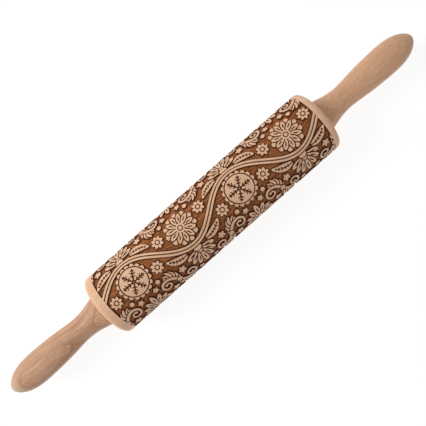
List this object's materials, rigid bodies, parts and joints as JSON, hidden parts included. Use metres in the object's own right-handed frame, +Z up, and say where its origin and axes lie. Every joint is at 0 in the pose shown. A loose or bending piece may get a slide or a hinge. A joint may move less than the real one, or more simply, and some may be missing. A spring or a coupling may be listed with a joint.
{
  "type": "rolling pin",
  "caption": "Wooden rolling pin with an engraved embossing barrel that turns freely on a steel rod between two fixed turned handles.",
  "frame": {"origin": "the middle of the barrel, on the axis of the rod", "axes": "+X along the rod towards the right handle, +Z up with the barrel lying on a table, +Y across"},
  "size_m": [0.43, 0.055, 0.055],
  "materials": {
    "barrel_wood": "sanded bare beech, engraved areas burnt brown",
    "handle_wood": "sanded bare beech, satin",
    "rod_steel": "drawn steel, bright",
    "washer_steel": "stamped, zinc plated",
    "bush_plastic": "natural white, matt",
    "washer_plastic": "natural white, matt",
    "insert_brass": "turned"
  },
  "bodies": {
    "handles_and_rod": {"axle_rod": "rod_steel", "handle_left": "handle_wood", "handle_right": "handle_wood", "threaded_insert_left": "insert_brass", "threaded_insert_right": "insert_brass", "clamp_washer_left": "washer_steel", "clamp_washer_right": "washer_steel", "thrust_washer_left": "washer_plastic", "thrust_washer_right": "washer_plastic"},
    "barrel_roller": {"barrel": "barrel_wood", "bush_left": "bush_plastic", "bush_right": "bush_plastic"}
  },
  "joints": [
    {"name": "barrel_spin", "type": "hinge", "parent": "handles_and_rod", "child": "barrel_roller", "pos_m": [0, 0, 0], "axis": [1, 0, 0], "continuous": true}
  ]
}
